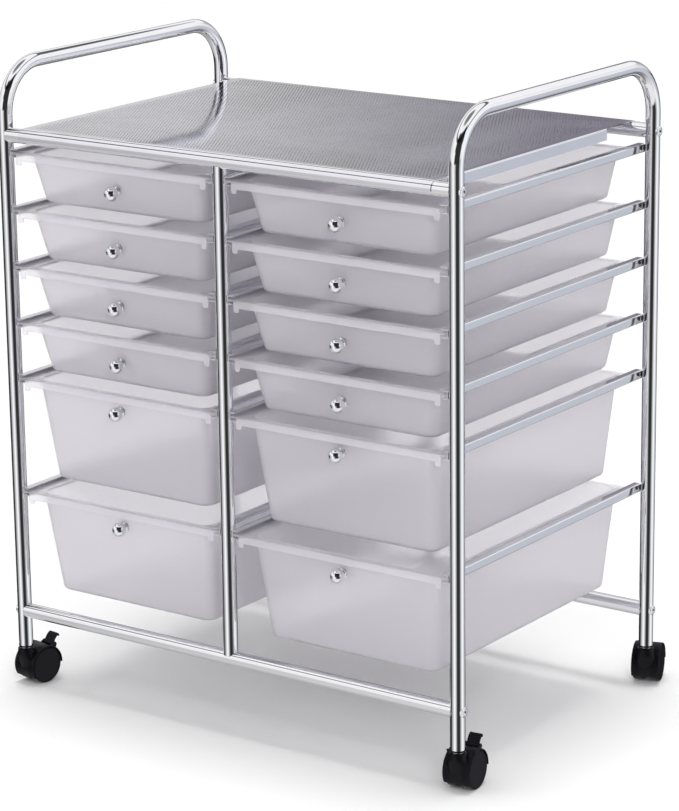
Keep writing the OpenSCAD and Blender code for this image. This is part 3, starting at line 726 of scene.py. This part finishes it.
def make_shelf():
    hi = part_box("top_shelf")[1]
    half = hi.x
    z1 = top_rail_z + TUBE_R + WELD_GAP + SHELF_T
    z0 = z1 - SHELF_T
    bend = FLANGE_BEND_R
    row_step = PERF_PITCH * math.sqrt(3) / 2
    columns = int(2 * (half - PERF_SIDE_BORDER) / (PERF_PITCH / 2))
    rows = int((rear_y - front_y - 2 * PERF_END_BORDER) / row_step)
    xs = [-half + bend] + [(k - columns / 2) * PERF_PITCH / 2 for k in range(columns + 1)] + [half - bend]
    ys = [front_y] + [middle_y + (k - rows / 2) * row_step for k in range(rows + 1)] + [rear_y]
    points, faces = [], []
    grid = {}
    for layer, z in enumerate((z0, z1)):
        for j, y in enumerate(ys):
            for i, x in enumerate(xs):
                grid[layer, i, j] = len(points)
                points.append((x, y, z))
    lean = math.radians(PERF_LEAN)
    hole = []
    for k in range(6):
        t = 2 * math.pi * k / 6
        u, v = PERF_LONG_R * math.cos(t), PERF_SHORT_R * math.sin(t)
        hole.append((u * math.cos(lean) - v * math.sin(lean), u * math.sin(lean) + v * math.cos(lean)))
    hole.sort(key=lambda p: math.atan2(p[1], p[0]) % (2 * math.pi))
    for j in range(len(ys) - 1):
        i = 0
        while i < len(xs) - 1:
            drilled = 1 <= j <= rows and i >= 1 and (i - 1 - j % 2) % 2 == 0 and i + 2 <= columns + 1
            if not drilled:
                a, b, c, d = (i, j), (i + 1, j), (i + 1, j + 1), (i, j + 1)
                faces.append(tuple(grid[1, *p] for p in (a, b, c, d)))
                faces.append(tuple(grid[0, *p] for p in (d, c, b, a)))
                i += 1
                continue
            cx, cy = xs[i + 1], (ys[j] + ys[j + 1]) / 2
            outer = [(i + 2, j), (i + 2, j + 1), (i + 1, j + 1), (i, j + 1), (i, j), (i + 1, j)]
            rims = []
            for z in (z0, z1):
                rims.append(range(len(points), len(points) + 6))
                points.extend((cx + u, cy + v, z) for u, v in hole)
            angles = [math.atan2(v, u) % (2 * math.pi) for u, v in hole]
            start = min(range(6), key=lambda k: abs((angles[k] + math.radians(30)) % (2 * math.pi)))
            order = [(start + k) % 6 for k in range(6)]
            for k in range(6):
                m = (k + 1) % 6
                p, q, r, s = outer[k], outer[m], order[m], order[k]
                faces.append((grid[1, *p], grid[1, *q], rims[1][r], rims[1][s]))
                faces.append((grid[0, *q], grid[0, *p], rims[0][s], rims[0][r]))
                faces.append((rims[1][s], rims[1][r], rims[0][r], rims[0][s]))
            i += 2
    nx, ny = len(xs) - 1, len(ys) - 1

    def edge(layer, side):
        """Vertex numbers along one edge of a layer of the flat sheet."""
        if side in ("front", "rear"):
            return [grid[layer, i, 0 if side == "front" else ny] for i in range(nx + 1)]
        return [grid[layer, 0 if side == "left" else nx, j] for j in range(ny + 1)]

    # The wraps round the front and rear rails
    steps = 20
    for side, y, sign in (("front", front_y, -1), ("rear", rear_y, 1)):
        previous = (edge(1, side), edge(0, side))
        for k in range(1, steps + 1):
            t = SHELF_WRAP * k / steps
            made = []
            for radius in (TUBE_R + WELD_GAP + SHELF_T, TUBE_R + WELD_GAP):
                made.append(list(range(len(points), len(points) + nx + 1)))
                wrap_y, wrap_z = y + sign * radius * math.sin(t), top_rail_z + radius * math.cos(t)
                points.extend((x, wrap_y, wrap_z) for x in xs)
            for i in range(nx):
                faces.append((previous[0][i], previous[0][i + 1], made[0][i + 1], made[0][i]))
                faces.append((previous[1][i + 1], previous[1][i], made[1][i], made[1][i + 1]))
            for i in (0, nx):
                faces.append((previous[0][i], made[0][i], made[1][i], previous[1][i]))
            previous = made
        for i in range(nx):
            faces.append((previous[0][i], previous[0][i + 1], previous[1][i + 1], previous[1][i]))

    # The sides: a small bend, then the flange where there is one
    flange_y = (front_y + FLANGE_FRONT_GAP, rear_y - FLANGE_REAR_GAP)
    for side, sign in (("left", -1), ("right", 1)):
        outer, inner = edge(1, side), edge(0, side)
        keep = [j for j in range(ny + 1) if flange_y[0] <= ys[j] <= flange_y[1]]
        for j in range(ny):
            if not (keep[0] <= j < keep[-1]):
                faces.append((outer[j], outer[j + 1], inner[j + 1], inner[j]))
        previous = ([outer[j] for j in keep], [inner[j] for j in keep])
        rail = [(half - bend + bend * math.sin(t), z1 - bend + bend * math.cos(t),
                 half - bend + (bend - SHELF_T) * math.sin(t), z1 - bend + (bend - SHELF_T) * math.cos(t))
                for t in quarter(6, first=1)]
        rail.append((half, z1 - FLANGE_H, half - SHELF_T, z1 - FLANGE_H))
        for x_out, z_out, x_in, z_in in rail:
            made = []
            for x, z in ((x_out, z_out), (x_in, z_in)):
                made.append(list(range(len(points), len(points) + len(keep))))
                points.extend((sign * x, ys[j], z) for j in keep)
            for k in range(len(keep) - 1):
                faces.append((previous[0][k], previous[0][k + 1], made[0][k + 1], made[0][k]))
                faces.append((previous[1][k + 1], previous[1][k], made[1][k], made[1][k + 1]))
            for k in (0, len(keep) - 1):
                faces.append((previous[0][k], made[0][k], made[1][k], previous[1][k]))
            previous = made
        for k in range(len(keep) - 1):
            faces.append((previous[0][k], previous[0][k + 1], previous[1][k + 1], previous[1][k]))
    shape = Shape()
    shape.points, shape.faces = points, faces
    finish_mesh("perforated_shelf", shape.mesh("shelf"), shelf_steel, "frame", ["top_shelf"],
                smooth=25)


# Drawers

def round_ring(x, y0, y1, r, z, steps=12):
    """A level rectangle with round corners, as points in order round it."""
    ring = []
    for corner, (sx, sy) in enumerate(((1, 1), (-1, 1), (-1, -1), (1, -1))):
        cx, cy = sx * (x - r), (y1 - r if sy > 0 else y0 + r)
        for k in range(steps + 1):
            t = math.radians(90 * (corner + k / steps))
            ring.append((cx + r * math.cos(t), cy + r * math.sin(t), z))
    return ring


def tub_rings(half, y0, y1, depth, slopes, corner, top):
    """Rings of a tapered tub from its floor up to z = top, its outline given at z = 0."""
    rings = []
    for t in quarter(8):
        inset, z = FLOOR_ROUND * (1 - math.sin(t)), -depth + FLOOR_ROUND * (1 - math.cos(t))
        rings.append((inset, z))
    rings.append((0, top))
    return [round_ring(half + z * slopes[0] - inset, y0 - z * slopes[1] + inset, y1 + z * slopes[2] - inset,
                       max(corner - inset, 1 * MM), z) for inset, z in rings]


def box_shape(shape, x0, x1, y0, y1, z0, z1):
    shape.prism([(x0, y0, z0), (x1, y0, z0), (x1, y1, z0), (x0, y1, z0)], (0, 0, z1 - z0))


def drawer_mesh(name, deep):
    """One drawer in its column's own place in Y, with X = 0 at its middle and Z = 0 at the rim's top."""
    node = "left_drawer_%d" % (LEVEL_COUNT if deep else 1)
    lo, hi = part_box(node)
    depth = hi.z - lo.z
    rim_half = (hi.x - lo.x) / 2
    tray_half = rim_half - RIM_LEDGE
    y0, y1 = front_y + TRAY_FRONT, hi.y - TRAY_REAR
    side_draw, front_draw = DEEP_DRAW if deep else SHALLOW_DRAW
    slopes = (side_draw / depth, front_draw / depth, REAR_DRAW / depth)
    shape = Shape()
    outer = tub_rings(tray_half, y0, y1, depth, slopes, TRAY_CORNER_R, -RIM_T - 1.5 * MM)
    fillet = []
    for out, corner, z in [(0.3 * MM, TRAY_CORNER_R, -RIM_T - 0.5 * MM),
                           (1.3 * MM, TRAY_CORNER_R + 1 * MM, -RIM_T)]:
        fillet.append(round_ring(tray_half + out, y0 - out, y1 + out, corner, z))
    rim = []
    for inset, z in [(0.5 * MM, -RIM_T), (0.0, -RIM_T + 0.5 * MM), (0.0, -0.7 * MM), (0.2 * MM, -0.2 * MM),
                     (0.7 * MM, 0)]:
        rim.append(round_ring(rim_half - inset, lo.y + inset, hi.y - inset, RIM_CORNER_R - inset, z))
    w = TRAY_WALL
    inner = tub_rings(tray_half - w, y0 + w, y1 - w, depth - w, slopes, TRAY_CORNER_R - w, -0.8 * MM)
    flare = 0.8 * MM
    mouth = round_ring(tray_half - w + flare, y0 + w - flare, y1 - w + flare, TRAY_CORNER_R - w, 0)
    shape.loft(outer + fillet + rim + [mouth] + inner[::-1])
    mesh = shape.mesh(name)
    trim = Shape()
    skirt_half = rim_half - SKIRT_INSET
    sink = 0.4 * MM
    box_shape(trim, -skirt_half, skirt_half, lo.y, lo.y + SKIRT_T, -SKIRT_H, -sink)
    mesh = combined(mesh, trim.mesh("skirt"))
    for sign in (-1, 1):
        lip = Shape()
        x = sorted((sign * (rim_half - LIP_W), sign * (rim_half - 0.02 * MM)))
        box_shape(lip, x[0], x[1], front_y + RIM_FRONT, hi.y - 0.1 * MM, -LIP_H, -sink)
        mesh = combined(mesh, lip.mesh("lip"))
        tab = Shape()
        x0 = sign * skirt_half
        x1 = sign * (skirt_half - TAB_W)
        r = 1.8 * MM
        low = -SKIRT_H - TAB_H
        a, b = min(x0, x1), max(x0, x1)
        outline = arc((a + r, low + r), r, 180, 270, 5) + arc((b - r, low + r), r, 270, 360, 5)
        outline += [(b, sink - SKIRT_H), (a, sink - SKIRT_H)]
        tab.prism([(u, lo.y + 0.05 * MM, v) for u, v in outline], (0, SKIRT_T - 0.1 * MM, 0))
        mesh = combined(mesh, tab.mesh("tab"))
    return mesh


def make_drawers():
    meshes = {False: drawer_mesh("shallow_drawer", False), True: drawer_mesh("deep_drawer", True)}
    for side in ("left", "right"):
        for level in range(1, LEVEL_COUNT + 1):
            node = "%s_drawer_%d" % (side, level)
            lo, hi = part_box(node)
            finish_mesh(node + "_tray", meshes[level > SHALLOW_COUNT], frosted, node, [node],
                        bevel=0.3 * MM, smooth=35, place=((lo.x + hi.x) / 2, 0, hi.z))


def make_knobs():
    for side in ("left", "right"):
        for level in range(1, LEVEL_COUNT + 1):
            body = "%s_drawer_%d" % (side, level)
            node = "%s_knob_%d" % (side, level)
            lo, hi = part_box(node)
            tray_lo, tray_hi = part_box(body)
            draw = (DEEP_DRAW if level > SHALLOW_COUNT else SHALLOW_DRAW)[1]
            lean = math.atan(draw / (tray_hi.z - tray_lo.z))
            centre = Vector(((lo.x + hi.x) / 2, lo.y + KNOB_R, lo.z + KNOB_R))
            matrix = Matrix.Translation(centre) @ Matrix.Rotation(math.pi / 2 + lean, 4, "X")
            seat = -KNOB_REACH
            edge, foot_h, fillet_h = 0.3 * MM, 0.9 * MM, 1.6 * MM
            profile = [(0, seat), (KNOB_BASE_R - edge, seat), (KNOB_BASE_R, seat + edge),
                       (KNOB_BASE_R, seat + foot_h)]
            neck = KNOB_BASE_R * 0.55
            for t in quarter(6, first=1):
                radius = neck + (KNOB_BASE_R - neck) * (1 - math.sin(t)) * 0.9
                profile.append((radius, seat + foot_h + fillet_h * (1 - math.cos(t))))
            start = math.pi - math.asin(neck / KNOB_R)
            profile += [(KNOB_R * math.sin(start * (1 - k / 32)), KNOB_R * math.cos(start * (1 - k / 32)))
                        for k in range(33)]
            shape = Shape()
            shape.lathe(profile, 64, matrix)
            finish_mesh(node + "_ball", shape.mesh(node), chrome, body, [node], smooth=50)
            screw = Shape()
            inside = -TRAY_WALL * math.cos(lean)
            dome = [(SCREW_HEAD_R * math.cos(t), inside - 0.6 * MM - 1.2 * MM * math.sin(t))
                    for t in [math.pi / 2 * k / 8 for k in range(8)]]
            shank = [(0, seat), (SCREW_R, seat), (SCREW_R, seat + inside), (SCREW_HEAD_R, seat + inside)]
            head = [(r, seat + z) for r, z in dome] + [(0, seat + inside - 1.8 * MM)]
            screw.lathe(shank + head, 32, matrix)
            finish_mesh(node + "_screw", screw.mesh(node), zinc, body, smooth=40)


# Casters

def caster_places():
    for end, y in (("front", front_y), ("rear", rear_y)):
        for side, sign in (("left", -1), ("right", 1)):
            yield end, side, Vector((sign * leg_x, y, 0))


AXLE = Matrix.Translation((0, TRAIL, WHEEL_R)) @ Matrix.Rotation(math.pi / 2, 4, "Y")
PIVOT_FROM_AXLE = HOOD_R + LEVER_HUB_R + PIVOT_GAP
PIVOT = Vector((0, TRAIL + PIVOT_FROM_AXLE * math.sin(math.radians(PIVOT_LEAN)),
                WHEEL_R + PIVOT_FROM_AXLE * math.cos(math.radians(PIVOT_LEAN))))


def rod(name, radius, start, end, matrix, segments=48):
    """A closed cylinder along the matrix's Z."""
    shape = Shape()
    shape.lathe([(0, start), (radius, start), (radius, end), (0, end)], segments, matrix)
    return shape.mesh(name)


def hood_drum():
    """The hood's full round: rounded side edges, and shallow grip grooves near them."""
    half, edge = HOOD_HALF, 1.1 * MM
    left = [(0, -half)] + [(HOOD_R - edge + edge * math.sin(t), -half + edge - edge * math.cos(t))
                           for t in quarter(6)]
    grooves = []
    for k in range(4):
        middle = -half + 3.2 * MM + k * 1.7 * MM
        grooves += [(HOOD_R, middle - 0.45 * MM), (HOOD_R - 0.3 * MM, middle - 0.2 * MM),
                    (HOOD_R - 0.3 * MM, middle + 0.2 * MM), (HOOD_R, middle + 0.45 * MM)]
    left += grooves
    shape = Shape()
    shape.lathe(left + [(r, -x) for r, x in reversed(left)], 120, AXLE)
    return shape.mesh("hood_drum")


def hood_nose():
    """The neck round the stem, which widens and leans back into the hood's front."""
    # Height, half width, front and back of each level, in millimetres
    levels = [
        (46.6, 9.3, -9.3, 9.3), (46.4, 9.8, -9.8, 9.8), (45.9, 10, -10, 10), (42, 10.4, -10, 10),
        (40, 11.0, -10, 11), (38, 11.8, -9.8, 12), (36, 12.6, -9.4, 14), (34, 13.3, -8.9, 15),
        (32, 14.0, -8.4, 16), (30, 14.5, -7.9, 17), (28, 15.0, -7.3, 17), (26, 15.3, -6.8, 17),
        (24, 15.5, -6.3, 17), (22, 15.6, -5.8, 17), (20, 15.6, -5.2, 17), (18, 15.4, -4.2, 16),
        (16, 15.0, -2.5, 15)]
    rings = []
    for z, half, front, back in levels:
        middle, depth = (front + back) / 2, (back - front) / 2
        ring = []
        for i in range(72):
            c, s = math.cos(2 * math.pi * i / 72), math.sin(2 * math.pi * i / 72)
            ring.append((half * c * MM, (middle + depth * s) * MM, z * MM))
        rings.append(ring)
    shape = Shape()
    shape.loft(rings)
    return shape.mesh("hood_nose")


def below_hood():
    """Everything under the hood's slanted lower edge."""
    slope = (HOOD_REAR_Z - HOOD_FRONT_Z) / (2 * HOOD_R)

    def edge_z(y):
        return HOOD_FRONT_Z + slope * (y - TRAIL + HOOD_R)

    near, far, half = -40 * MM, 90 * MM, 2 * HOOD_HALF
    shape = Shape()
    outline = [(-half, near, edge_z(near)), (-half, far, edge_z(far)), (-half, far, -far),
               (-half, near, -far)]
    shape.prism(outline, (2 * half, 0, 0))
    return shape.mesh("below_hood")


def brake_ear(x):
    """One ear beside the lever's hub, rooted in the hood."""
    lean = math.radians(PIVOT_LEAN)
    out = Vector((0, math.sin(lean), math.cos(lean)))
    along = Vector((0, math.cos(lean), -math.sin(lean)))
    radius = LEVER_HUB_R + 0.5 * MM
    root = -(LEVER_HUB_R + PIVOT_GAP + 0.8 * MM)
    outline = [PIVOT + along * radius * math.cos(t) + out * radius * math.sin(t)
               for t in [math.pi * k / 16 for k in range(17)]]
    outline += [PIVOT - along * radius * 1.5 + out * root, PIVOT + along * radius * 1.5 + out * root]
    shape = Shape()
    shape.prism([p + Vector((x - EAR_T / 2, 0, 0)) for p in outline], (EAR_T, 0, 0))
    return shape.mesh("brake_ear")


def hood_fin():
    """A small upright fin on the left of a brake caster's hood."""
    shape = Shape()
    outline = [(-9.4, -0.5, 42.6), (-9.4, 3.5, 42.6), (-13.6, 2.8, 47.8), (-13.6, 0.4, 48.0)]
    shape.prism([Vector(p) * MM for p in outline], (-0.9 * MM, 0, -1.1 * MM))
    return shape.mesh("hood_fin")


def wheel_spaces():
    """The room for both wheels inside the hood, each side of its web."""
    shape = Shape()
    radius, far = HOOD_R - HOOD_T, 2 * HOOD_HALF
    for side in (-1, 1):
        a, b = sorted((side * WEB_HALF, side * far))
        shape.lathe([(0, a), (radius, a), (radius, b), (0, b)], 116, AXLE)
    return shape.mesh("wheel_spaces")


def hood_mesh(brake):
    mesh = combined(hood_drum(), hood_nose())
    mesh = combined(mesh, below_hood(), "DIFFERENCE")
    mesh = combined(mesh, wheel_spaces(), "DIFFERENCE")
    stem_hole = rod("stem_hole", STEM_HOLE_R, STEM_LOW_Z, 2 * NECK_TOP, Matrix.Identity(4))
    mesh = combined(mesh, stem_hole, "DIFFERENCE")
    axle_hole = rod("axle_hole", AXLE_HOLE_R, -HOOD_HALF, HOOD_HALF, AXLE, 40)
    mesh = combined(mesh, axle_hole, "DIFFERENCE")
    if brake:
        pin = Matrix.Translation(PIVOT) @ Matrix.Rotation(math.pi / 2, 4, "Y")
        bore = rod("pin", TRUNNION_R + 0.06 * MM, -HOOD_HALF, HOOD_HALF, pin)
        for side in (-1, 1):
            ear = combined(brake_ear(side * (LEVER_HALF + PIVOT_GAP + EAR_T / 2)), bore, "DIFFERENCE")
            mesh = combined(mesh, ear)
        mesh = combined(mesh, hood_fin())
    return mesh


def wheel_mesh(side):
    """A wheel's turned form: hub, thin disc, rounded tread, and a crowned cap inside a rim ring."""
    face = WHEEL_IN + WHEEL_W
    r = WHEEL_R
    round_r = 2 * MM
    bore_r, hub_r, rim_in = 3.06 * MM, 6 * MM, r - 3.5 * MM
    bore_end, disc_in = face - 2.6 * MM, face - 4 * MM
    profile = [(0, bore_end), (bore_r, bore_end), (bore_r, WHEEL_IN), (hub_r, WHEEL_IN), (hub_r, disc_in),
               (rim_in, disc_in), (rim_in, WHEEL_IN)]
    profile += [(r - round_r + round_r * math.sin(t), WHEEL_IN + round_r - round_r * math.cos(t))
                for t in quarter(6)]
    profile += [(r - round_r + round_r * math.cos(t), face - round_r + round_r * math.sin(t))
                for t in quarter(6)]
    profile += [(r - 2.6 * MM, face), (r - 2.9 * MM, face - 0.15 * MM), (r - 3.1 * MM, face - 0.45 * MM),
                (r - 3.5 * MM, face - 0.5 * MM)]
    crown_r = r - 3.5 * MM
    for k in range(1, 15):
        share = 1 - k / 14
        profile.append((crown_r * share, face - 0.5 * MM * share ** 2))
    shape = Shape()
    shape.lathe([(radius, side * x) for radius, x in profile], 96, AXLE)
    return shape.mesh("wheel")


def lever_mesh():
    """The brake pedal: hub, curved plate with cross ribs, turned-down lip and trunnions."""
    bend = LEVER_L / math.radians(LEVER_START - LEVER_END)
    start = math.radians(LEVER_START)
    centre = (PIVOT.y + bend * math.sin(start), PIVOT.z - bend * math.cos(start))
    half_t = LEVER_T / 2
    tip_angle = math.radians(90 + LEVER_END)
    down = Vector((-math.cos(tip_angle), -math.sin(tip_angle)))
    ahead = Vector((math.sin(tip_angle), -math.cos(tip_angle)))
    tip = Vector(centre) - down * bend
    outer = arc(centre, bend + half_t, 90 + LEVER_START, 90 + LEVER_END + 4, 14)
    nose = [tip + ahead * (half_t * math.sin(t) - half_t) - down * half_t * math.cos(t)
            for t in quarter(5)]
    lip = [tip + down * (LEVER_LIP - half_t), tip + down * (LEVER_LIP - half_t) - ahead * 0.8 * LEVER_T]
    inner = arc(centre, bend - half_t, 90 + LEVER_END + 8, 90 + LEVER_START, 14)
    outline = [tuple(p) for p in outer] + [tuple(p) for p in nose + lip] + [tuple(p) for p in inner]
    plate = Shape()
    plate.prism([(-LEVER_HALF, y, z) for y, z in outline], (2 * LEVER_HALF, 0, 0))
    mesh = plate.mesh("lever")
    at_pivot = Matrix.Translation(PIVOT) @ Matrix.Rotation(math.pi / 2, 4, "Y")
    mesh = combined(mesh, rod("hub", LEVER_HUB_R, -LEVER_HALF, LEVER_HALF, at_pivot))
    trunnion = LEVER_HALF + PIVOT_GAP + EAR_T
    mesh = combined(mesh, rod("trunnion", TRUNNION_R, -trunnion, trunnion, at_pivot, 32))
    for k in range(4):
        t = math.radians(90 + LEVER_END + 6 + 8 * k)
        out = Vector((math.cos(t), math.sin(t)))
        place = Vector(centre) + out * (bend + half_t - 0.2 * MM)
        turn = Matrix.Translation((0, place.x, place.y)) @ Matrix.Rotation(math.pi / 2, 4, "Y")
        mesh = combined(mesh, rod("rib", 0.5 * MM, 1.2 * MM - LEVER_HALF, LEVER_HALF - 1.2 * MM, turn, 16))
    return mesh


def turned(mesh, degrees):
    """A copy of a mesh, turned about Z."""
    copy = mesh.copy()
    copy.transform(Matrix.Rotation(math.radians(degrees), 4, "Z"))
    return copy


def make_casters():
    hoods = {brake: hood_mesh(brake) for brake in (False, True)}
    wheels = {"left": wheel_mesh(-1), "right": wheel_mesh(1)}
    lever = lever_mesh()
    for end, side, place in caster_places():
        name = "%s_%s" % (end, side)
        turn = CASTER_TURN[name]
        hood = turned(hoods[end == "front"], turn)
        finish_mesh(name + "_hood_shell", hood, hood_plastic, name + "_caster",
                    [name + "_hood"], bevel=0.25 * MM, smooth=35, place=place)
        for half, mesh in wheels.items():
            node = "%s_wheel_%s" % (name, half)
            finish_mesh(node + "_disc", turned(mesh, turn), wheel_plastic, node, [node],
                        smooth=35, place=place)
        if end == "front":
            node = name + "_brake_lever"
            finish_mesh(node + "_pedal", turned(lever, turn), hood_plastic, node, [node],
                        bevel=0.3 * MM, smooth=35, place=place)


def dress_small_nodes():
    dress = [("rail_nuts", zinc), ("leg_sockets", hood_plastic)]
    dress += [(name + "_pins", zinc) for name in CASTER_TURN]
    for node, material in dress:
        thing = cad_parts[node]
        thing.data.materials.clear()
        thing.data.materials.append(material)


make_camera()
make_world()
make_overhead()
cart_middle = (0, middle_y, 0.4)
make_lamp("left_soft", (-2.2, middle_y - 2.0, 1.9), cart_middle, size=1.6, watts=6)
make_lamp("front_fill", (2.4, middle_y - 2.6, 2.2), cart_middle, size=1.8, watts=46)
make_floor()
make_frame()
bolt_heads()
make_runners()
make_shelf()
make_drawers()
make_knobs()
make_casters()
dress_small_nodes()

scene = bpy.context.scene
# Light crosses up to a dozen frosted walls on its way through both columns
scene.cycles.max_bounces = LIGHT_BOUNCES
scene.cycles.transmission_bounces = LIGHT_BOUNCES
scene.cycles.transparent_max_bounces = LIGHT_BOUNCES
scene.view_settings.view_transform = "Standard"
